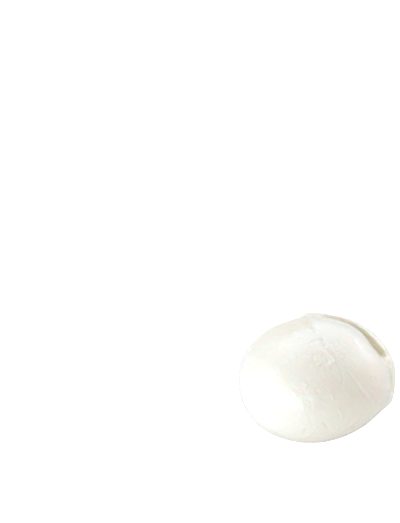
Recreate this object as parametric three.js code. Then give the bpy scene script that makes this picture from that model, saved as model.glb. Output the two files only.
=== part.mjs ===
// Mozzarella ball.
//
// One piece of fresh pulled-curd cheese, lying on the flat that its own weight presses into it.
// Its skin is folded over once: a flap comes up from behind and stands round the upper right of the
// dome as a proud lip, with a narrow crevice between the two. The crevice opens into a hollow at the
// right, closes to a crease, opens again a little, and the flap ends in a blunt corner at the lower
// right. Behind, the flap grows out of the ball, and a few soft pleats run into the navel where the
// ball was pinched off.
//
// The surface is a ball in polar form. The pole is the middle of the dome, which looks forward and up.
// Each section through the pole is a smooth spline, and goes from the pole over the dome's edge and
// round the back. The turn of a section is measured about the pole: 0 is right, 90 is up, -90 is down.
// Where the flap is, the section dips into the crevice, comes up again and goes over the lip.

import * as THREE from 'three';

// Driving dimensions, in millimetres. The ball is drawn with the radius HALF_WIDTH and then pressed
// to its real half height and half depth.
const HALF_WIDTH = 43;
const HALF_DEPTH = 42;
const HALF_HEIGHT = 31.7;
const FLAT_CUT = 3;
const FLAT_ROUNDING = 1.6;
const POLE_ELEVATION = 42.85;

// Each table gives a length in millimetres, or a share, at some turns in degrees.
// How far the dome's edge stands outside the round ball.
const DOME_EDGE = [
  [-180, -0.4], [-150, 0.2], [-130, 0.9], [-96, 0], [-58, -1.1], [-35, -0.3], [-14, 1.4], [-7, 1.1],
  [0, 0.2], [8, 0], [15, -0.5], [24, -1.3], [35, -1.9], [43, -1.2], [53, 0.2], [66, 1.1], [80, 1.1],
  [112, 0.3], [150, 0], [180, -0.4],
];
// How far the lip's outer side stands outside the round ball.
const LIP_EDGE = [
  [-46, 0], [-34, 0.8], [-24, 2], [-15, 3.5], [-6, 3.3], [2, 3.5], [15, 4.3], [40, 4.6], [64, 4.3],
  [80, 3.6], [96, 4.2], [112, 2.5],
];
// How far the crevice between the dome's edge and the lip stands open, as a share, and its width.
const CREVICE_OPEN = [
  [-14, 0], [-8, 0.6], [4, 0.6], [11, 0.15], [21, 0.15], [26, 1], [80, 1], [96, 0],
];
const CREVICE_WIDTH = [
  [-14, 0.3], [2, 0.4], [10, 0.3], [22, 0.3], [25, 1.6], [28, 3.1], [32, 2.7], [38, 2.5], [46, 2.1],
  [61, 1.4], [76, 0.9], [90, 0.4],
];
// How deep the crevice's floor lies below the dome's widest ring.
const CREVICE_DEPTH = [[-14, 0.2], [20, 0.2], [28, 0.4], [45, 0.3], [60, 0.15]];
// How high the lip's rim stands above that ring, as a share of its full height.
const RIM_RISE = [[-14, 0.5], [10, 0.6], [22, 0.5], [50, 0.5], [64, 0], [76, -0.2]];
// How far the rim then drops outwards to the lip's widest point: steeply, but flat at its left end.
const RIM_DROP = [[46, 4.4], [64, 1.6], [84, 1.6], [95, 4.4]];
// Share of the flap's thickness, and share of its lift up to the dome's edge.
const FLAP_THICKNESS = [[-54, 0], [-32, 1], [98, 1], [112, 0]];
const FLAP_LIFT = [[-37, 0], [-19, 1], [95, 1], [98, 0.5], [101, 0]];
// The flap's root swells the back: by how much at each pole angle, and at which turns.
const ROOT_SWELL = [[106, 0], [118, 2.2], [132, 2.8], [162, 0]];
const ROOT_REACH = [[-44, 0], [10, 0.7], [40, 1], [94, 1], [132, 0]];
// The flap spreads towards its root: degrees of turn at each pole angle, and the share at each turn.
const SPREAD = [[106, 0], [114, 2.5], [130, 14], [160, 20]];
const SPREAD_SHARE = [[-130, 0], [-50, -0.7], [-15, -0.6], [20, 0], [55, 0], [95, 1], [120, 1], [179, 0]];

// Pole angles of the section's control points, in degrees: on the dome, on the stretch that the fold
// takes up, and on the back.
const DOME_ANGLES = [0, 13, 26, 39, 52, 64, 74];
const FOLD_ANGLES = [81, 87, 92, 96, 99, 102, 105, 108, 111, 115, 121, 129];
const BACK_ANGLES = [139, 149, 160, 170, 180];
// What the dome's edge adds fades out towards the poles with this power of the pole angle's sine.
const EDGE_FADE = 3;
// Pole angles of the first two control points of the fold, which still lie on the round dome.
const DOME_SHOULDER = [82, 89];

// The pinched navel at the back, and its pleats: bearing in degrees, depth and length.
const NAVEL = { turn: 35, poleAngle: 141, depth: 2.2, radius: 4.5, twist: 0.7, twistRadius: 14 };
const PLEATS = [
  [8, 1.5, 27], [66, 1.1, 19], [128, 1.4, 31], [186, 1, 20], [236, 1.5, 26], [305, 1.2, 22],
];
const PLEAT_WIDTH = 2.1;
const PLEAT_WIDENING = 0.06;
const PLEAT_START = 4;
const PLEAT_BANKS = { height: 0.4, width: 2.6 };

// Steps of the mesh along a section, and round the pole. The ends of the flap have the finest steps.
const DOME_STEPS = 14;
const FOLD_STEPS = 34;
const BACK_STEPS = 12;
const TURN_STEPS = [[-56, 18], [-14, 33], [84, 14], [112, 23]];

// Monotone cubic through the keys of a table, so that nothing overshoots between two of them.
function valueAt(table, x) {
  const last = table.length - 1;
  if (x <= table[0][0]) return table[0][1];
  if (x >= table[last][0]) return table[last][1];
  const steepness = (k) => (table[k + 1][1] - table[k][1]) / (table[k + 1][0] - table[k][0]);
  const tangent = (k) => {
    if (k === 0 || k === last) return 0;
    const before = steepness(k - 1);
    const after = steepness(k);
    return before * after > 0 ? (2 * before * after) / (before + after) : 0;
  };
  const k = table.findIndex((key) => key[0] > x) - 1;
  const width = table[k + 1][0] - table[k][0];
  const t = (x - table[k][0]) / width;
  const rise = t * t * (3 - 2 * t);
  const leave = t * (1 - t) * (1 - t) * width * tangent(k);
  const arrive = t * t * (t - 1) * width * tangent(k + 1);
  return table[k][1] * (1 - rise) + table[k + 1][1] * rise + leave + arrive;
}

// Points of a section hold how far they are out from the pole's axis (x), and how far along it (y).
function fromPolar(radius, poleAngle) {
  return new THREE.Vector2(radius * Math.sin(poleAngle), radius * Math.cos(poleAngle));
}

function poleAngleOf(point) {
  return Math.atan2(point.x, point.y);
}

// A point of the ball without its fold.
function roundPoint(degrees, turn) {
  const angle = THREE.MathUtils.degToRad(degrees);
  const edge = valueAt(DOME_EDGE, turn) * Math.sin(angle) ** EDGE_FADE;
  const swell = 1 + (valueAt(ROOT_SWELL, degrees) * valueAt(ROOT_REACH, turn)) / HALF_WIDTH;
  const out = (HALF_WIDTH + edge) * Math.sin(angle) * swell;
  return new THREE.Vector2(out, HALF_WIDTH * Math.cos(angle) * swell);
}

// The control points of the folded stretch: over the dome's edge, down its wall to the floor of the
// crevice, up the inside of the lip, over its rim, and down its outside onto the back. Where the
// crevice is shut, the points lie on a plain shoulder from the dome out to the lip.
function foldedPoints(turn) {
  const dome = HALF_WIDTH + valueAt(DOME_EDGE, turn);
  const lip = HALF_WIDTH + valueAt(LIP_EDGE, turn);
  const width = valueAt(CREVICE_WIDTH, turn);
  const depth = valueAt(CREVICE_DEPTH, turn);
  const rise = valueAt(RIM_RISE, turn);
  const drop = valueAt(RIM_DROP, turn);
  const inner = dome + width;
  const openFold = [
    ...DOME_SHOULDER.map((degrees) => roundPoint(degrees, turn).toArray()),
    [dome, -0.5 * depth],
    [dome, -1.15 * depth],
    [dome + 0.1 + 0.4 * width, -1.1 * depth],
    [inner - 0.1, -0.8 * depth],
    [inner + 0.1, 1.3 * rise],
    [0.75 * inner + 0.25 * lip, 1.6 * rise],
    [0.35 * inner + 0.65 * lip, -0.2 * drop],
    [lip + 0.1, -drop],
  ];
  const opening = valueAt(CREVICE_OPEN, turn);
  const fold = openFold.map(([out, along], k) => {
    const share = k / (openFold.length - 1);
    const shoulderOut = THREE.MathUtils.lerp(dome - 0.4, lip + 0.1, share);
    const shoulder = new THREE.Vector2(shoulderOut, 5.6 - (5.6 + drop) * share ** 1.5);
    return shoulder.lerp(new THREE.Vector2(out, along), opening);
  });
  const outside = new THREE.Vector2(lip - 0.1, -8);
  const ontoBack = new THREE.Vector2(THREE.MathUtils.lerp(HALF_WIDTH, lip, 0.75) - 1, -17);
  return [...fold, outside, ontoBack];
}

// Radius and pole angle go over from the round ball to the fold each by a share of its own, so the
// flap first lies down on the ball and only then thins out.
function controlPoints(turn) {
  const thickness = valueAt(FLAP_THICKNESS, turn);
  const lift = valueAt(FLAP_LIFT, turn);
  const folded = foldedPoints(turn);
  const middle = FOLD_ANGLES.map((degrees, k) => {
    const round = roundPoint(degrees, turn);
    const radius = THREE.MathUtils.lerp(round.length(), folded[k].length(), thickness);
    return fromPolar(radius, THREE.MathUtils.lerp(poleAngleOf(round), poleAngleOf(folded[k]), lift));
  });
  const plain = (degrees) => roundPoint(degrees, turn);
  return [...DOME_ANGLES.map(plain), ...middle, ...BACK_ANGLES.map(plain)];
}

// Uniform cubic B-spline. Past each end it goes on as its own mirror image in the pole's axis, which
// leaves the ball smooth at both poles.
function sectionPoint(controls, u) {
  const last = controls.length - 1;
  const mirrored = (k) => new THREE.Vector2(-controls[k].x, controls[k].y);
  const control = (k) => {
    if (k < 0) return mirrored(-k);
    return k > last ? mirrored(2 * last - k) : controls[k];
  };
  const k = Math.min(Math.floor(u), last - 1);
  const t = u - k;
  const weights = [
    (1 - t) ** 3 / 6,
    (3 * t ** 3 - 6 * t ** 2 + 4) / 6,
    (-3 * t ** 3 + 3 * t ** 2 + 3 * t + 1) / 6,
    t ** 3 / 6,
  ];
  const point = new THREE.Vector2();
  weights.forEach((weight, step) => point.addScaledVector(control(k - 1 + step), weight));
  return point;
}

// A direction in the ball's own polar frame: right, up and along the pole.
function direction(poleAngle, turn) {
  return new THREE.Vector3(
    Math.sin(poleAngle) * Math.cos(turn),
    Math.sin(poleAngle) * Math.sin(turn),
    Math.cos(poleAngle),
  );
}

const navelTurn = THREE.MathUtils.degToRad(NAVEL.turn);
const navelMiddle = direction(THREE.MathUtils.degToRad(NAVEL.poleAngle), navelTurn);
const navelAcross = new THREE.Vector3(-Math.sin(navelTurn), Math.cos(navelTurn), 0);
const navelAlong = new THREE.Vector3().crossVectors(navelMiddle, navelAcross);

function bell(distance, width) {
  return Math.exp(-((distance / width) ** 2));
}

// Millimetres that the navel and its pleats raise the surface by. The pleats are swirled about it.
function navelRelief(towards) {
  if (towards.dot(navelMiddle) <= 0) return 0;
  const across = towards.dot(navelAcross) * HALF_WIDTH;
  const along = towards.dot(navelAlong) * HALF_WIDTH;
  const distance = Math.hypot(across, along);
  const swirl = NAVEL.twist * Math.exp(-distance / NAVEL.twistRadius);
  const heading = Math.atan2(along, across) - swirl;
  let relief = -NAVEL.depth * bell(distance, NAVEL.radius);
  for (const [bearing, depth, reach] of PLEATS) {
    const off = heading - THREE.MathUtils.degToRad(bearing);
    const forward = distance * Math.cos(off);
    const sideways = distance * Math.sin(off);
    const start = THREE.MathUtils.clamp(forward / PLEAT_START, 0, 1);
    const fade = start * THREE.MathUtils.clamp(1 - forward / reach, 0, 1);
    const width = PLEAT_WIDTH + PLEAT_WIDENING * forward;
    const banks = PLEAT_BANKS.height * bell(sideways, PLEAT_BANKS.width * width);
    relief += depth * fade * (banks - bell(sideways, width));
  }
  return relief;
}

// The pole points forward (-Y) and up. Turn 0 is to the right (+X), and turn 90 is up and back.
const elevation = THREE.MathUtils.degToRad(POLE_ELEVATION);
const RIGHT = new THREE.Vector3(1, 0, 0);
const UP = new THREE.Vector3(0, Math.sin(elevation), Math.cos(elevation));
const POLE = new THREE.Vector3(0, -Math.cos(elevation), Math.sin(elevation));
const PRESS = new THREE.Vector3(1, HALF_DEPTH / HALF_WIDTH, HALF_HEIGHT / HALF_WIDTH);

// Lifts what lies below the flat onto it, through a soft round edge.
function restOnFlat(height) {
  const above = height + HALF_HEIGHT - FLAT_CUT;
  if (above > FLAT_ROUNDING) return above;
  if (above < -FLAT_ROUNDING) return 0;
  return (above + FLAT_ROUNDING) ** 2 / (4 * FLAT_ROUNDING);
}

function surfacePoint(section, turn) {
  const poleAngle = poleAngleOf(section);
  const spread = valueAt(SPREAD, THREE.MathUtils.radToDeg(poleAngle)) * valueAt(SPREAD_SHARE, turn);
  const towards = direction(poleAngle, THREE.MathUtils.degToRad(turn + spread));
  const radius = section.length() + navelRelief(towards);
  const point = new THREE.Vector3()
    .addScaledVector(RIGHT, towards.x * radius)
    .addScaledVector(UP, towards.y * radius)
    .addScaledVector(POLE, towards.z * radius)
    .multiply(PRESS);
  point.z = restOnFlat(point.z);
  return point;
}

// count steps from one value up to, and not including, another.
function steps(from, to, count) {
  return Array.from({ length: count }, (_, k) => from + ((to - from) * k) / count);
}

function sectionStations() {
  const foldStart = DOME_ANGLES.length - 1;
  const foldEnd = foldStart + FOLD_ANGLES.length + 1;
  const end = foldEnd + BACK_ANGLES.length - 1;
  return [
    ...steps(0, foldStart, DOME_STEPS),
    ...steps(foldStart, foldEnd, FOLD_STEPS),
    ...steps(foldEnd, end, BACK_STEPS),
    end,
  ];
}

function sectionTurns() {
  const fullCircle = TURN_STEPS[0][0] + 360;
  return TURN_STEPS.flatMap(([from, count], k) => {
    const to = k + 1 < TURN_STEPS.length ? TURN_STEPS[k + 1][0] : fullCircle;
    return steps(from, to, count).map((turn) => (turn > 180 ? turn - 360 : turn));
  });
}

function buildSkin() {
  const stations = sectionStations();
  const turns = sectionTurns();
  const [frontPole, backPole] = [stations.shift(), stations.pop()];
  const points = [];
  for (const turn of turns) {
    const controls = controlPoints(turn);
    for (const u of stations) points.push(surfacePoint(sectionPoint(controls, u), turn));
  }
  const controls = controlPoints(0);
  const front = points.push(surfacePoint(sectionPoint(controls, frontPole), 0)) - 1;
  const back = points.push(surfacePoint(sectionPoint(controls, backPole), 0)) - 1;

  const rows = stations.length;
  const triangles = [];
  turns.forEach((_, column) => {
    const here = column * rows;
    const next = ((column + 1) % turns.length) * rows;
    triangles.push(front, here, next);
    for (let row = 0; row < rows - 1; row += 1) {
      triangles.push(here + row, here + row + 1, next + row + 1);
      triangles.push(here + row, next + row + 1, next + row);
    }
    triangles.push(back, next + rows - 1, here + rows - 1);
  });

  const skin = new THREE.BufferGeometry().setFromPoints(points);
  skin.setIndex(triangles);
  skin.computeBoundingBox();
  const centre = skin.boundingBox.getCenter(new THREE.Vector3());
  skin.translate(-centre.x, -centre.y, 0);
  skin.computeVertexNormals();
  return skin;
}

// Wet, milky white curd with a faint cream cast.
const curd = new THREE.MeshStandardMaterial({ color: '#f4f1e6', roughness: 0.38, metalness: 0 });
const ball = new THREE.Mesh(buildSkin(), curd);
ball.name = 'mozzarella';

const group = new THREE.Group();
group.add(ball);
export default group;
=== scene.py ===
"""Whole mozzarella ball with a folded flap of skin, lying on a white table."""

import math

import bmesh
import bpy
import numpy as np
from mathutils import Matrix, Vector


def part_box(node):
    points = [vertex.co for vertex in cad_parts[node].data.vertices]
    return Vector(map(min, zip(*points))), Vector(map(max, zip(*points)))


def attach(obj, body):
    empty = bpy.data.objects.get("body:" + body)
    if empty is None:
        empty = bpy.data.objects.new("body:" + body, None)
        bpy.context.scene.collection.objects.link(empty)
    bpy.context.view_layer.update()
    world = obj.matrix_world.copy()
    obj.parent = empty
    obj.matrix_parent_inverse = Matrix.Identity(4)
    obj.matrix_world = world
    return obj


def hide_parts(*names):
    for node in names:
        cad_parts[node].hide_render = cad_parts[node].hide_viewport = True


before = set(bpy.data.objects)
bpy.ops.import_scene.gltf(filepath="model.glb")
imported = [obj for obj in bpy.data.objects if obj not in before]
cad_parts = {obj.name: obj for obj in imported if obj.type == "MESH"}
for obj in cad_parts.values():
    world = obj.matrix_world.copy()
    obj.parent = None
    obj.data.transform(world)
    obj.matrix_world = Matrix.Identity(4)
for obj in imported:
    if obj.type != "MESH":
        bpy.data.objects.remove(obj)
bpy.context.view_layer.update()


# ---- The ball ---------------------------------------------------------------------------------------
# One ball of fresh pulled-curd cheese, about 250 g. Hot curd is stretched, folded under and pinched
# off by hand, then cooled in water, so a flap of its skin comes up from behind and stands round the
# upper right of the dome as a proud lip, and behind it soft pleats run into the pinched navel.
MM = 0.001

# The form, in millimetres and degrees. It is a ball in polar form: the pole is the middle of the dome,
# which looks forward and up, and sections are turned about it: 0 is right, 90 is up, -90 is down.
HALF_WIDTH, HALF_DEPTH, HALF_HEIGHT = 43, 42, 31.7
FLAT_CUT, FLAT_ROUNDING = 3, 1.6
POLE_ELEVATION = 42.85

# How far the dome's edge and the lip stand outside the round ball, by turn.
DOME_EDGE = [
    (-180, -0.4), (-150, 0.2), (-130, 0.9), (-96, 0), (-58, -1.1), (-35, -0.3), (-14, 1.4), (-7, 1.1),
    (0, 0.2), (8, 0), (15, -0.5), (24, -1.3), (35, -1.9), (43, -1.2), (53, 0.2), (66, 1.1), (80, 1.1),
    (112, 0.3), (150, 0), (180, -0.4),
]
LIP_EDGE = [
    (-46, 0), (-34, 0.8), (-24, 2), (-15, 3.5), (-6, 3.3), (2, 3.5), (15, 4.3), (40, 4.6), (64, 4.3),
    (80, 3.6), (96, 4.2), (112, 2.5),
]
# The crevice between dome and lip: how far it stands open, how wide it is, how deep it goes, how high
# the lip's rim stands over the dome's widest ring, and how far the rim then drops outwards.
CREVICE_OPEN = [(-14, 0), (-8, 0.6), (4, 0.6), (11, 0.15), (21, 0.15), (26, 1), (80, 1), (96, 0)]
CREVICE_WIDTH = [
    (-14, 0.3), (2, 0.4), (10, 0.3), (22, 0.3), (25, 1.6), (28, 3.1), (32, 2.7), (38, 2.5), (46, 2.1),
    (61, 1.4), (76, 0.9), (90, 0.4),
]
CREVICE_DEPTH = [(-14, 0.2), (20, 0.2), (28, 0.4), (45, 0.3), (60, 0.15)]
RIM_RISE = [(-14, 0.5), (10, 0.6), (22, 0.5), (50, 0.5), (64, 0), (76, -0.2)]
RIM_DROP = [(46, 4.4), (64, 1.6), (84, 1.6), (95, 4.4)]
# Share of the flap's thickness and of its lift up to the dome's edge, and how it grows out of the back.
FLAP_THICKNESS = [(-54, 0), (-32, 1), (98, 1), (112, 0)]
FLAP_LIFT = [(-37, 0), (-19, 1), (95, 1), (98, 0.5), (101, 0)]
ROOT_SWELL = [(106, 0), (118, 2.2), (132, 2.8), (162, 0)]
ROOT_REACH = [(-44, 0), (10, 0.7), (40, 1), (94, 1), (132, 0)]
SPREAD = [(106, 0), (114, 2.5), (130, 14), (160, 20)]
SPREAD_SHARE = [(-130, 0), (-50, -0.7), (-15, -0.6), (20, 0), (55, 0), (95, 1), (120, 1), (179, 0)]
# Pole angles of a section's control points: on the dome, on the fold and on the back.
DOME_ANGLES = [0, 13, 26, 39, 52, 64, 74]
FOLD_ANGLES = [81, 87, 92, 96, 99, 102, 105, 108, 111, 115, 121, 129]
BACK_ANGLES = [139, 149, 160, 170, 180]
# The dome edge's offset fades towards the poles, as this power of the sine of the pole angle.
EDGE_FADE = 3


def value_at(keys, x):
    """Monotone cubic through the keys, so that nothing overshoots between two of them."""
    xs, ys = np.array(keys, float).T
    slope = np.diff(ys) / np.diff(xs)
    before, after = slope[:-1], slope[1:]
    tangent = np.zeros(len(xs))
    same = before * after > 0
    tangent[1:-1][same] = (2 * before * after)[same] / (before + after)[same]
    x = np.clip(x, xs[0], xs[-1])
    k = np.clip(np.searchsorted(xs, x, side="right") - 1, 0, len(xs) - 2)
    width = xs[k + 1] - xs[k]
    t = (x - xs[k]) / width
    rise = t * t * (3 - 2 * t)
    leave = t * (1 - t) ** 2 * width * tangent[k]
    arrive = t * t * (t - 1) * width * tangent[k + 1]
    return ys[k] * (1 - rise) + ys[k + 1] * rise + leave + arrive


def round_point(degrees, turn):
    """Out from the pole's axis and along it, of a point of the ball without its fold."""
    angle = math.radians(degrees)
    edge = value_at(DOME_EDGE, turn) * math.sin(angle) ** EDGE_FADE
    swell = 1 + value_at(ROOT_SWELL, degrees) * value_at(ROOT_REACH, turn) / HALF_WIDTH
    return np.array([(HALF_WIDTH + edge) * math.sin(angle) * swell, HALF_WIDTH * math.cos(angle) * swell])


def folded_points(turn):
    """Over the dome's edge, down its wall, up the inside of the lip, over its crest and down outside."""
    dome = HALF_WIDTH + value_at(DOME_EDGE, turn)
    lip = HALF_WIDTH + value_at(LIP_EDGE, turn)
    width, depth = value_at(CREVICE_WIDTH, turn), value_at(CREVICE_DEPTH, turn)
    rise, drop = value_at(RIM_RISE, turn), value_at(RIM_DROP, turn)
    inner = dome + width
    open_fold = [
        round_point(82, turn),
        round_point(89, turn),
        (dome, -0.5 * depth),
        (dome, -1.15 * depth),
        (dome + 0.1 + 0.4 * width, -1.1 * depth),
        (inner - 0.1, -0.8 * depth),
        (inner + 0.1, 1.3 * rise),
        (0.75 * inner + 0.25 * lip, 1.6 * rise),
        (0.35 * inner + 0.65 * lip, -0.2 * drop),
        (lip + 0.1, -drop),
    ]
    # Where the crevice is shut, the points lie on a plain shoulder from the dome out to the lip.
    opening = value_at(CREVICE_OPEN, turn)
    fold = []
    for k, (out, along) in enumerate(open_fold):
        share = k / (len(open_fold) - 1)
        shut_out = dome - 0.4 + (lip + 0.5 - dome) * share
        shut_along = 5.6 - (5.6 + drop) * share ** 1.5
        fold.append((shut_out + (out - shut_out) * opening, shut_along + (along - shut_along) * opening))
    return [*fold, (lip - 0.1, -8), (0.25 * HALF_WIDTH + 0.75 * lip - 1, -17)]


def control_points(turn):
    """All sections' control points. Radius and pole angle go over to the fold each by its own share."""
    thickness, lift = value_at(FLAP_THICKNESS, turn), value_at(FLAP_LIFT, turn)
    middle = []
    for degrees, (out, along) in zip(FOLD_ANGLES, folded_points(turn)):
        plain_out, plain_along = round_point(degrees, turn)
        plain_radius, plain_angle = np.hypot(plain_out, plain_along), np.arctan2(plain_out, plain_along)
        radius = plain_radius + (np.hypot(out, along) - plain_radius) * thickness
        angle = plain_angle + (np.arctan2(out, along) - plain_angle) * lift
        middle.append((radius * np.sin(angle), radius * np.cos(angle)))
    return np.array([
        *(round_point(degrees, turn) for degrees in DOME_ANGLES),
        *middle,
        *(round_point(degrees, turn) for degrees in BACK_ANGLES),
    ])


def sections(controls, stations):
    """Uniform cubic B-splines, mirrored in the pole's axis past each end."""
    mirror = np.array([-1, 1])[:, None]
    points = np.concatenate([controls[1:2] * mirror, controls, controls[-2:-1] * mirror])
    k = np.minimum(stations.astype(int), len(controls) - 2)
    t = (stations - k)[:, None, None]
    weights = [(1 - t) ** 3, 3 * t ** 3 - 6 * t ** 2 + 4, -3 * t ** 3 + 3 * t ** 2 + 3 * t + 1, t ** 3]
    return sum(weight / 6 * points[k + step] for step, weight in enumerate(weights))


def directions(angle, turn):
    """Unit vectors in the ball's own polar frame: right, up and along the pole."""
    return np.stack([np.sin(angle) * np.cos(turn), np.sin(angle) * np.sin(turn), np.cos(angle)], -1)


# The navel at the back, where the ball was pinched off, and the pleats that are swirled about it.
NAVEL_TURN, NAVEL_ANGLE = math.radians(35), math.radians(141)
NAVEL_DEPTH, NAVEL_RADIUS = 2.2, 4.5
TWIST, TWIST_RADIUS = 0.7, 14
PLEATS = [(8, 1.5, 27), (66, 1.1, 19), (128, 1.4, 31), (186, 1, 20), (236, 1.5, 26), (305, 1.2, 22)]
PLEAT_WIDTH, PLEAT_WIDENING, PLEAT_START = 2.1, 0.06, 4


def bell(distance, width):
    return np.exp(-((distance / width) ** 2))


def navel_relief(towards):
    middle = directions(NAVEL_ANGLE, NAVEL_TURN)
    across = np.array([-math.sin(NAVEL_TURN), math.cos(NAVEL_TURN), 0])
    x, y = towards @ across * HALF_WIDTH, towards @ np.cross(middle, across) * HALF_WIDTH
    distance = np.hypot(x, y)
    heading = np.arctan2(y, x) - TWIST * np.exp(-distance / TWIST_RADIUS)
    relief = -NAVEL_DEPTH * bell(distance, NAVEL_RADIUS)
    for bearing, depth, reach in PLEATS:
        forward = distance * np.cos(heading - math.radians(bearing))
        sideways = distance * np.sin(heading - math.radians(bearing))
        fade = np.clip(forward / PLEAT_START, 0, 1) * np.clip(1 - forward / reach, 0, 1)
        width = PLEAT_WIDTH + PLEAT_WIDENING * forward
        relief += depth * fade * (0.4 * bell(sideways, 2.6 * width) - bell(sideways, width))
    return np.where(towards @ middle > 0, relief, 0)


# Steps of the mesh, each about 0.6 mm: along a section by spline stations, and round the pole, where
# the flap has the finer ones.
STATIONS = np.concatenate([
    np.linspace(0, 6, 92, endpoint=False),
    np.linspace(6, 19, 106, endpoint=False),
    np.linspace(19, 23, 58),
])
TURNS = np.concatenate([
    np.linspace(-64, 112, 256, endpoint=False),
    np.linspace(112, 296, 192, endpoint=False),
])
TURNS = np.where(TURNS > 180, TURNS - 360, TURNS)

outline = sections(control_points(TURNS), STATIONS)
out, along = outline[:, 0], outline[:, 1]
pole_angle = np.arctan2(out, along)
spread = value_at(SPREAD, np.degrees(pole_angle)) * value_at(SPREAD_SHARE, TURNS)
towards = directions(pole_angle, np.radians(TURNS + spread))
radius = np.hypot(out, along) + navel_relief(towards)

elevation = math.radians(POLE_ELEVATION)
AXES = np.array([
    [1, 0, 0],
    [0, math.sin(elevation), math.cos(elevation)],
    [0, -math.cos(elevation), math.sin(elevation)],
])
PRESS = np.array([1, HALF_DEPTH / HALF_WIDTH, HALF_HEIGHT / HALF_WIDTH])
skin = (towards * radius[..., None]) @ AXES * PRESS

# The skin's relief, in millimetres. Right and up are measured from the middle of the dome.
right, up = HALF_WIDTH * towards[..., 0], HALF_WIDTH * towards[..., 1]
front = np.clip(4 * towards[..., 2], 0, 1)
# The crevice's walls stay smooth, because they nearly touch.
depth_in_fold = np.clip(np.minimum(STATIONS - 8.2, 14.2 - STATIONS), 0, 1)[:, None]
open_skin = 1 - depth_in_fold * value_at(FLAP_LIFT, TURNS)

# Creases, grooves and ridges of the front: a smooth line through the points, then how wide it is, how
# deep it is cut, which is below zero for a ridge, and how high the bank on its left stands.
CREASES = [
    # The pinch in the upper middle of the dome: a fold that turns down into a long trough, and the
    # ridge of skin that hooks round beside it.
    ([(-5.0, 24.4), (-1.5, 25.8), (1.6, 27.6), (3.8, 28.4), (5.2, 27.2)], 0.7, 0.36, 0),
    ([(4.2, 28.4), (5.5, 26.0), (6.2, 23.2), (8.1, 20.3), (10.4, 17.5), (11.7, 15.0), (12.9, 11.3)],
     1.0, 0.48, 0.1),
    ([(12.2, 13.4), (13.4, 10.4), (14.6, 7.2), (15.8, 4.2), (16.4, 1.0), (16.2, -2.4)], 0.75, 0.58, 0.08),
    ([(2.6, 22.4), (5.2, 20.0), (7.9, 17.4), (9.8, 15.2), (10.4, 12.8), (9.2, 10.8), (6.9, 10.1)],
     0.9, -0.46, 0),
    ([(-5.0, 17.3), (-1.0, 17.6), (3.0, 17.8), (6.0, 17.2)], 0.5, 0.2, 0),
    ([(4.0, 18.0), (6.2, 16.7), (7.8, 15.0), (8.3, 13.2), (7.9, 12.0)], 0.7, 0.42, 0),
    ([(0.3, 11.9), (2.3, 12.2), (4.1, 12.7)], 0.55, 0.28, 0),
    ([(0.9, 10.4), (2.6, 10.9), (4.1, 11.6)], 0.6, -0.28, 0),
    ([(3.9, 10.0), (4.3, 8.4)], 0.6, 0.22, 0),
    ([(9.4, 26.0), (10.5, 24.4)], 0.6, 0.25, 0),
    ([(11.8, 27.8), (13.0, 26.0), (14.2, 24.4)], 0.6, 0.25, 0),
    # Left of the pinch.
    ([(-9.6, 27.8), (-6.6, 28.9), (-3.8, 30.0)], 0.5, 0.25, 0),
    ([(-18.4, 12.9), (-15.5, 11.8), (-13, 10.1)], 0.7, -0.2, 0),
    ([(-14.2, 14.4), (-13.0, 11.4)], 0.6, 0.16, 0),
    ([(-14.2, 32.4), (-13.4, 33.6), (-13, 35)], 0.7, 0.2, 0),
    # The long crease across the right, and the short ones that run with it.
    ([(18.6, 5.6), (21.0, 2.8), (24.3, -2.6), (27.3, -7.0), (30.5, -12.0), (34.1, -17.0)], 0.5, 0.25, 0.5),
    ([(22.5, -7.6), (23.8, -9.8), (25.0, -12.0)], 0.6, 0.2, 0.1),
    ([(17.2, -7.0), (18.6, -9.8), (20.3, -13.0)], 0.6, 0.12, 0.05),
    ([(6.6, -4.6), (7.5, -6.0), (8.7, -7.6)], 0.6, 0.26, 0),
    ([(40.4, -8.7), (38.9, -14.6), (37.4, -21.8), (35.6, -24.4)], 0.8, 0.4, -0.1),
    # The lower half, where the curd is lumpy.
    ([(-5.8, -1.4), (-3.7, -3.2), (-3.8, -4.9), (-6.0, -5.4)], 0.6, -0.34, 0),
    ([(-11.6, -6.8), (-10.2, -9.4), (-8.4, -12.3)], 0.5, -0.07, 0),
    ([(-5.4, -7.8), (-4.4, -9.2), (-3.4, -10.8)], 0.65, 0.2, 0),
    ([(-10.8, -13.0), (-9.2, -15.4), (-6.8, -17.0), (-3.6, -17.6)], 0.6, -0.08, 0),
    ([(8.6, -9.4), (10.9, -10.0), (11.3, -12.0), (12.2, -14.0)], 0.6, -0.27, 0),
    ([(6.8, -15.0), (9.2, -15.6)], 0.6, -0.16, 0),
    ([(13.5, -18.3), (15.6, -21.4), (16.8, -24.7), (15.5, -27.8)], 0.5, -0.3, 0),
    ([(6.6, -24.6), (7.2, -21.8), (9.0, -19.8), (11.8, -18.9)], 0.7, -0.2, 0),
    ([(5.9, -28.2), (7.6, -30.8), (9.6, -34.2)], 0.55, 0.3, -0.14),
    ([(20.0, -32.5), (22.9, -29.0), (25.4, -26.3), (28.0, -23.0)], 1.0, -0.34, 0),
    ([(-5.4, -38.2), (-4.2, -35.4), (-3.2, -33.6)], 0.7, 0.24, 0),
    ([(-4.0, -23.6), (-3.0, -26.6), (-2.5, -29.6)], 0.7, -0.1, 0),
    ([(-5.2, -24.7), (-5.2, -27.6), (-5.1, -30.2)], 0.7, 0.08, 0),
]
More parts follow.
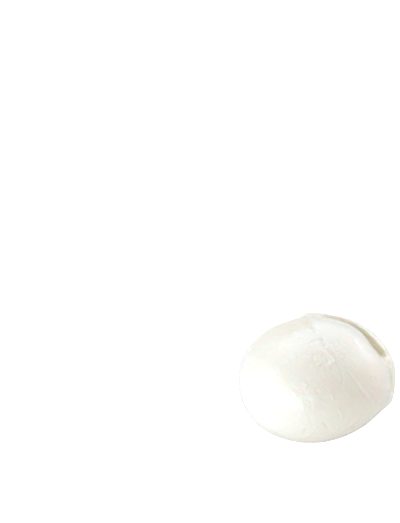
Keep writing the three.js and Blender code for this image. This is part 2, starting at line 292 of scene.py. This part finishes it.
# Lumps, and hollows where the height is below zero: right, up, how wide, how high.
LUMPS = [
    (4.4, 28.0, 1.1, -0.3), (5.7, 23.9, 1.2, -0.34), (1.5, 13.3, 0.8, 0.2), (-4.7, 21.6, 2.2, 0.12),
    (5.5, 6.6, 0.8, 0.2), (9.0, 8.7, 0.8, 0.3), (-6.6, 10.0, 0.8, 0.15), (-0.9, 36.4, 1.4, -0.6),
    (-4.7, 39.0, 1.1, -0.5), (0.6, 33.2, 1.0, -0.4), (-2.3, -3.2, 1.2, -0.12), (1.4, -11.2, 2.6, 0.3),
    (2.3, -7.6, 1.2, -0.32), (-4.2, -13.6, 2.2, -0.14), (0.9, -16.2, 1.0, 0.12), (-2.6, -18.3, 0.9, 0.12),
    (-0.9, -17.6, 0.9, -0.1), (11.6, -13.2, 0.9, 0.12), (11.1, -23.8, 4.2, 0.12), (2.6, -32.0, 1.0, 0.22),
    (-6.0, -33.5, 0.9, 0.28), (-2.2, -38.1, 1.2, 0.28), (-8.7, -23.1, 1.8, -0.14),
]


def smooth_line(points):
    """Catmull-Rom line through the points, in short straight pieces."""
    points = np.array(points)
    knots = np.array([2 * points[0] - points[1], *points, 2 * points[-1] - points[-2]])
    line = []
    for a, b, c, d in zip(knots, knots[1:], knots[2:], knots[3:]):
        for t in np.arange(0, 1, 0.25):
            bend = (2 * a - 5 * b + 4 * c - d) * t ** 2 + (3 * b - a - 3 * c + d) * t ** 3
            line.append((2 * b + (c - a) * t + bend) / 2)
    return np.array([*line, points[-1]])


# The bank beside a crease, in widths of the crease: how far its top lies away, and how broad it is.
BANK_AWAY, BANK_BREADTH = 1.7, 1.3


def crease(points, width, depth, bank):
    """Relief of one crease, which fades out towards both ends."""
    line = smooth_line(points)
    share = np.linspace(0, 1, len(line))
    nearest, at, side = np.full(right.shape, 1e9), np.zeros(right.shape), np.zeros(right.shape)
    for k in range(len(line) - 1):
        (x, y), (dx, dy) = line[k], line[k + 1] - line[k]
        t = np.clip(((right - x) * dx + (up - y) * dy) / (dx * dx + dy * dy), 0, 1)
        distance = np.hypot(right - x - t * dx, up - y - t * dy)
        closer = distance < nearest
        nearest = np.where(closer, distance, nearest)
        at = np.where(closer, share[k] + t * (share[k + 1] - share[k]), at)
        side = np.where(closer, np.sign(dx * (up - y) - dy * (right - x)), side)
    fade = np.sqrt(np.clip(4 * at * (1 - at), 0, 1))
    beside = bell(side * nearest - BANK_AWAY * width, BANK_BREADTH * width)
    return fade * (bank * beside - depth * bell(nearest, width))


def waves(points, length, seed, count=60):
    """Smooth random swells of about that wavelength, mostly between -1 and 1."""
    random = np.random.default_rng(seed)
    pulls = random.normal(size=(count, 3))
    pulls /= np.linalg.norm(pulls, axis=1, keepdims=True)
    pulls *= 2 * math.pi / length * random.uniform(0.7, 1.3, (count, 1))
    return np.sin(points @ pulls.T + random.uniform(0, 2 * math.pi, count)).sum(-1) / math.sqrt(count / 2)


# The curd was pulled down to the right, so its fibres run that way. A pattern is drawn out along the
# pull by leaving this share of every step in that direction out of it.
PULL = np.array([0.616, -0.788, 0])
DRAWING = 0.86
ball = HALF_WIDTH * towards
drawn_out = ball - (ball @ PULL)[..., None] * PULL * DRAWING

relief = sum(crease(*row) for row in CREASES)
for x, y, width, height in LUMPS:
    relief += height * np.exp(-((np.hypot(right - x, up - y) / width) ** 3))
relief *= front
# The swells are strongest at the lower left, and the fibres round the pinch.
PINCH_RIGHT, PINCH_UP, PINCH_REACH = 10, 19, 15
lumpy = np.clip(0.5 - (ball @ [0.6, 0.5, 0]) / 40, 0.25, 1)
brushed = 0.2 + 0.8 * bell(np.hypot(right - PINCH_RIGHT, up - PINCH_UP), PINCH_REACH)
relief += 0.03 * lumpy * waves(ball, 6.5, 11) + 0.02 * waves(ball, 3.2, 12)
relief += 0.04 * brushed * waves(drawn_out, 2.0, 13) + 0.02 * (0.6 + brushed) * waves(ball, 1.8, 14)

# The rough cream patch at the upper left, where the skin tore and healed. It lies above a line that
# rises to the right, and it ends at the middle. Both edges are ragged.
PATCH_UP, PATCH_SLOPE, PATCH_FADE = 31.7, 0.39, 8.5
PATCH_RIGHT, PATCH_RIGHT_FADE = 0.5, 3
ragged = 0.9 * waves(ball, 7, 31) + 0.5 * waves(ball, 2.6, 32)
patch = np.clip((up - PATCH_UP - PATCH_SLOPE * right + ragged) / PATCH_FADE, 0, 1)
patch *= np.clip((ragged + PATCH_RIGHT - right) / PATCH_RIGHT_FADE, 0, 1)
patch = patch * patch * (3 - 2 * patch)
relief += patch * (0.07 * waves(ball, 3.4, 21) + 0.05 * waves(ball, 1.9, 22))


def normals_of(grid):
    """Outward unit normals of the grid of stations by turns."""
    normal = np.cross(np.gradient(grid, axis=0), np.roll(grid, -1, 1) - np.roll(grid, 1, 1))
    normal[0], normal[-1] = AXES[2] / PRESS, -AXES[2] / PRESS
    return normal / np.linalg.norm(normal, axis=-1, keepdims=True)


# Where the flap grows out of the dome again, below the crevice, its skin lies in fine slanting strands.
# A degree of turn is about 0.78 mm there.
STRAND_SPACING, STRAND_HEIGHT, STRAND_SLANT, STRAND_WANDER = 2.8, 0.17, 0.9, 1.4
over_strands = 0.78 * TURNS + STRAND_SLANT * (out - HALF_WIDTH)
strands = np.sin(2 * math.pi * over_strands / STRAND_SPACING + STRAND_WANDER * waves(ball, 4, 17))
strands *= value_at([(4, 0), (9, 1), (19, 1), (24, 0)], TURNS)
strands *= value_at([(7, 0), (8, 1), (12.5, 1), (14, 0)], STATIONS)[:, None]
skin += normals_of(skin) * (relief * open_skin + STRAND_HEIGHT * strands)[..., None]
above = skin[..., 2] + HALF_HEIGHT - FLAT_CUT
rounded = (above + FLAT_ROUNDING) ** 2 / (4 * FLAT_ROUNDING)
skin[..., 2] = np.where(above > FLAT_ROUNDING, above, np.where(above < -FLAT_ROUNDING, 0, rounded))

low, high = np.array(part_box("mozzarella")) / MM
skin_low, skin_high = skin.min((0, 1)), skin.max((0, 1))
skin = low + (skin - skin_low) * (high - low) / (skin_high - skin_low)

# The mesh. Towards the poles the rings get small: below 0.36 of full girth they take half as many
# columns, below 0.18 a quarter, and so on.
columns, last_row = len(TURNS), len(STATIONS) - 1
share_of_full = np.sin(pole_angle).mean(1)
strides = 2 ** np.clip(np.floor(-np.log2(np.maximum(share_of_full, 0.001) * 1.4)), 0, 5).astype(int)


def ring_corners(row, column, reach):
    """Corners of a ring from one column on. At a pole the ring is one point."""
    if row in (0, last_row):
        return [row * columns]
    return [row * columns + (column + step) % columns for step in range(0, reach + 1, strides[row])]


faces = []
for row in range(last_row):
    reach = max(strides[k] for k in (row, row + 1) if k not in (0, last_row))
    for column in range(0, columns, reach):
        faces.append(ring_corners(row + 1, column, reach) + ring_corners(row, column, reach)[::-1])
mesh = bpy.data.meshes.new("mozzarella_skin")
mesh.from_pydata((skin.reshape(-1, 3) * MM).tolist(), [], faces)
# Painted light: the flap along the right and its crevice are painted lighter, which lifts their shade.
past_edge = np.clip((STATIONS - 8) / 2, 0, 1)[:, None]
painted_light = past_edge * value_at([(-40, 0), (-20, 1), (48, 1), (64, 0)], TURNS)
# Its left end is dry cream like the patch; there the darker cream is also painted shade on the lip's
# strip.
cream_and_shade = np.maximum(patch, past_edge * value_at([(52, 0), (84, 0.4), (98, 1), (112, 0)], TURNS))
# Two places, on the right and in the middle, are a little pinker than the rest.
PINKER_PLACES = [(34.8, -8, 8), (12, -5, 6)]
pink = front * sum(bell(np.hypot(right - x, up - y), width) for x, y, width in PINKER_PLACES)
for name, amount in (("cream_and_shade", cream_and_shade), ("painted_light", painted_light), ("pink", np.clip(pink, 0, 1))):
    layer = mesh.attributes.new(name, "FLOAT", "POINT")
    layer.data.foreach_set("value", amount.ravel().astype(np.float32))
worked = bmesh.new()
worked.from_mesh(mesh)
bmesh.ops.delete(worked, geom=[v for v in worked.verts if not v.link_faces], context="VERTS")
bmesh.ops.recalc_face_normals(worked, faces=worked.faces)
worked.to_mesh(mesh)
worked.free()
mesh.shade_smooth()
mozzarella = bpy.data.objects.new("mozzarella_ball", mesh)
bpy.context.scene.collection.objects.link(mozzarella)


def linear(hex_colour):
    """An sRGB hex colour in the renderer's linear values."""
    parts = [int(hex_colour[k:k + 2], 16) / 255 for k in (1, 3, 5)]
    return [p / 12.92 if p <= 0.04045 else ((p + 0.055) / 1.055) ** 2.4 for p in parts] + [1]


def add(tree, kind, settings=None, **links):
    """Adds a node. Settings name its properties or inputs, and links its inputs by output socket."""
    node = tree.nodes.new(kind)
    for name, value in (settings or {}).items():
        if name in node.inputs:
            node.inputs[name].default_value = value
        else:
            setattr(node, name, value)
    for name, socket in links.items():
        tree.links.new(socket, node.inputs[name.replace("_", " ")])
    return node


# Fresh curd: milky white with a faint cream cast. Its fat and water let light in a few millimetres,
# and the whey on its skin, which is the coat, gives it a soft wet sheen.
curd = bpy.data.materials.new("fresh_curd")
curd.use_nodes = True
tree = curd.node_tree
tree.nodes.clear()
place = add(tree, "ShaderNodeTexCoord").outputs["Object"]
cloud = add(tree, "ShaderNodeTexNoise", {"Scale": 1 / (14 * MM), "Detail": 2}, Vector=place).outputs["Fac"]
tint = add(tree, "ShaderNodeMix", {"data_type": "RGBA"}, Factor=cloud)
tint.inputs["A"].default_value = linear("#f8f2e1")
tint.inputs["B"].default_value = linear("#f6eedb")
# Over the milky tint lie the flap's painted light, the pinker places and the dry cream ones, partly
# painted shade.
colour = tint.outputs["Result"]
# The first colour is painted light on the flap and in its crevice.
for name, hex_colour in (("painted_light", "#fef6df"), ("pink", "#f8eddd"), ("cream_and_shade", "#efe7d1")):
    share = add(tree, "ShaderNodeAttribute", {"attribute_name": name}).outputs["Fac"]
    layer = add(tree, "ShaderNodeMix", {"data_type": "RGBA"}, Factor=share)
    tree.links.new(colour, layer.inputs["A"])
    layer.inputs["B"].default_value = linear(hex_colour)
    colour = layer.outputs["Result"]
# Where it is cream it is dry too: rough, and without the film of whey. On the lip's strip that cream is
# also painted shade.
cream_and_shade = add(tree, "ShaderNodeAttribute", {"attribute_name": "cream_and_shade"}).outputs["Fac"]
dull = add(tree, "ShaderNodeMapRange", {"To Min": 0.28, "To Max": 0.6}, Value=cream_and_shade).outputs["Result"]
wet = add(tree, "ShaderNodeMapRange", {"To Min": 1, "To Max": 0}, Value=cream_and_shade).outputs["Result"]
# Finer than the mesh: pebbles of about 1.3 mm, and lines along the fibres. Real ones are well under a
# millimetre apart, and are drawn 1.5 mm apart to show.
pull = tuple(PULL @ AXES)
along_pull = add(tree, "ShaderNodeVectorMath", {"operation": "DOT_PRODUCT"})
tree.links.new(place, along_pull.inputs[0])
along_pull.inputs[1].default_value = pull
drawn = add(tree, "ShaderNodeVectorMath", {"operation": "SCALE"}, Scale=along_pull.outputs["Value"])
drawn.inputs[0].default_value = [DRAWING * p for p in pull]
across_pull = add(tree, "ShaderNodeVectorMath", {"operation": "SUBTRACT"})
tree.links.new(place, across_pull.inputs[0])
tree.links.new(drawn.outputs["Vector"], across_pull.inputs[1])
across = across_pull.outputs["Vector"]
lines = add(tree, "ShaderNodeTexNoise", {"Scale": 1 / (1.5 * MM), "Detail": 2}, Vector=across)
pebbles = add(tree, "ShaderNodeTexNoise", {"Scale": 1 / (1.3 * MM), "Detail": 2}, Vector=place)
fine = add(tree, "ShaderNodeMath", {"operation": "ADD"})
tree.links.new(lines.outputs["Fac"], fine.inputs[0])
tree.links.new(pebbles.outputs["Fac"], fine.inputs[1])
rough_skin = add(tree, "ShaderNodeBump", {"Strength": 1, "Distance": 0.15 * MM}, Height=fine.outputs[0])
shader = add(tree, "ShaderNodeBsdfPrincipled", {
    "IOR": 1.5, "Subsurface Weight": 0.6, "Subsurface Scale": 2 * MM,
    "Subsurface Radius": (1.4, 0.8, 0.5), "Coat Roughness": 0.2, "Coat IOR": 1.34,
}, Roughness=dull, Coat_Weight=wet, Normal=rough_skin.outputs["Normal"])
tree.links.new(colour, shader.inputs["Base Color"])
add(tree, "ShaderNodeOutputMaterial", Surface=shader.outputs[0])
mesh.materials.append(curd)

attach(mozzarella, "root")
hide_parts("mozzarella")


# ---- The table --------------------------------------------------------------------------------------
# A wide white acrylic sheet, lit evenly from underneath, so that the ball hardly darkens it. What is
# seen of it is brighter than the light that it throws up at the ball, and its mirror image in the wet
# skin is greyer, which draws the ball's rim against the white.
TABLE_SIDE = 6.0
bpy.ops.mesh.primitive_plane_add(size=TABLE_SIDE)
table = bpy.context.object
table.name = "table"
acrylic = bpy.data.materials.new("backlit_white_acrylic")
acrylic.use_nodes = True
sheet = acrylic.node_tree.nodes["Principled BSDF"]
sheet.inputs["Roughness"].default_value = 0.6
sheet.inputs["Emission Color"].default_value = (1, 1, 1, 1)
path = add(acrylic.node_tree, "ShaderNodeLightPath").outputs
seen, mirrored = path["Is Camera Ray"], path["Is Glossy Ray"]
glow = add(acrylic.node_tree, "ShaderNodeMapRange", {"To Min": 0.125, "To Max": 0.65}, Value=seen)
acrylic.node_tree.links.new(glow.outputs["Result"], sheet.inputs["Emission Strength"])
white = add(acrylic.node_tree, "ShaderNodeMix", {"data_type": "RGBA"}, Factor=mirrored)
white.inputs["A"].default_value = linear("#f0f0f0")
white.inputs["B"].default_value = linear("#cccccc")
acrylic.node_tree.links.new(white.outputs["Result"], sheet.inputs["Base Color"])
table.data.materials.append(acrylic)


# ---- The light --------------------------------------------------------------------------------------
# Cool daylight through eight white panels: a large one leans over the ball from behind, two stand on
# the left and make that side glare, and weaker ones fill from the right, the back right corner, the
# front right and above the left. The studio's walls give back the rest.
def panel(name, at, size, towards_point, radiance, colour="#d6e8ff"):
    """A panel of that width and height, in metres, which faces the point squarely."""
    light = bpy.data.lights.new(name, "AREA")
    light.shape = "RECTANGLE"
    light.size, light.size_y = size
    light.color = linear(colour)[:3]
    light.energy = radiance * math.pi * size[0] * size[1]
    lamp = bpy.data.objects.new(name, light)
    bpy.context.scene.collection.objects.link(lamp)
    lamp.location = at
    lamp.rotation_euler = (Vector(towards_point) - Vector(at)).to_track_quat("-Z", "Y").to_euler()
    lamp.visible_camera = False


panel("back_panel", (0.275, 0.805, 0.71), (1.65, 1.32), (0.275, -0.175, -0.18), 1.43)
panel("left_panel", (-1.2, -0.5, 0.57), (1.4, 1.1), (0, -0.5, 0.57), 3.0)
panel("front_left_panel", (-0.8, -1.3, 0.57), (0.8, 1.1), (-0.8, 0, 0.57), 3.75)
panel("right_panel", (1.2, 0.35, 0.61), (1.1, 1.18), (0, 0.35, 0.61), 0.75, "#e4eaf4")
panel("back_right_low", (0.95, 0.8, 0.3), (0.9, 0.5), (0, 0, 0.04), 1.0, "#fbfaff")
panel("back_right_mid", (0.8, 0.65, 0.8), (0.9, 0.6), (0, 0, 0.04), 0.35)
panel("front_right", (0.9, -1.2, 0.5), (0.8, 0.6), (0, 0, 0.04), 0.72)
panel("top_left", (-0.6, 0.78, 1.0), (0.7, 0.5), (0, 0, 0.04), 0.62)
studio = bpy.data.worlds.new("white_studio")
studio.use_nodes = True
studio.node_tree.nodes["Background"].inputs["Color"].default_value = linear("#fff2e9")
studio.node_tree.nodes["Background"].inputs["Strength"].default_value = 0.46
bpy.context.scene.world = studio
bpy.context.scene.view_settings.view_transform = "Standard"
bpy.context.scene.cycles.max_bounces = 16
bpy.context.scene.cycles.diffuse_bounces = 12


# ---- The camera -------------------------------------------------------------------------------------
# A long lens well away, looking down at the ball. It is turned to the left of and above the ball,
# until the middle of the dome stands at its place in the lower right of the frame.
FRAME_WIDTH, FRAME_HEIGHT = 400, 523
DOME_MIDDLE = (313.4, 380.4)
PIXEL = 0.565 * MM
CAMERA_ELEVATION, CAMERA_DISTANCE = math.radians(35), 2.5

from_low = np.array([0, 0, HALF_HEIGHT - FLAT_CUT]) - skin_low
middle = Vector((low + from_low * (high - low) / (skin_high - skin_low)) * MM)
back = Vector((0, -math.cos(CAMERA_ELEVATION), math.sin(CAMERA_ELEVATION)))
aside = (DOME_MIDDLE[0] - FRAME_WIDTH / 2) * PIXEL / CAMERA_DISTANCE
upward = (FRAME_HEIGHT / 2 - DOME_MIDDLE[1]) * PIXEL / CAMERA_DISTANCE
reach = math.sqrt(1 + aside ** 2 + upward ** 2)
tilt = math.acos(reach * math.sin(CAMERA_ELEVATION) / math.hypot(upward, 1)) - math.atan(upward)
turn = math.atan2(aside, upward * math.cos(tilt) + math.sin(tilt))

camera = bpy.data.objects.new("camera", bpy.data.cameras.new("camera"))
bpy.context.scene.collection.objects.link(camera)
camera.location = middle + back * CAMERA_DISTANCE
camera.rotation_euler = (tilt, 0, turn)
camera.data.sensor_width = 36
camera.data.lens = camera.data.sensor_width * CAMERA_DISTANCE / (FRAME_HEIGHT * PIXEL)
bpy.context.scene.camera = camera

bpy.context.view_layer.update()
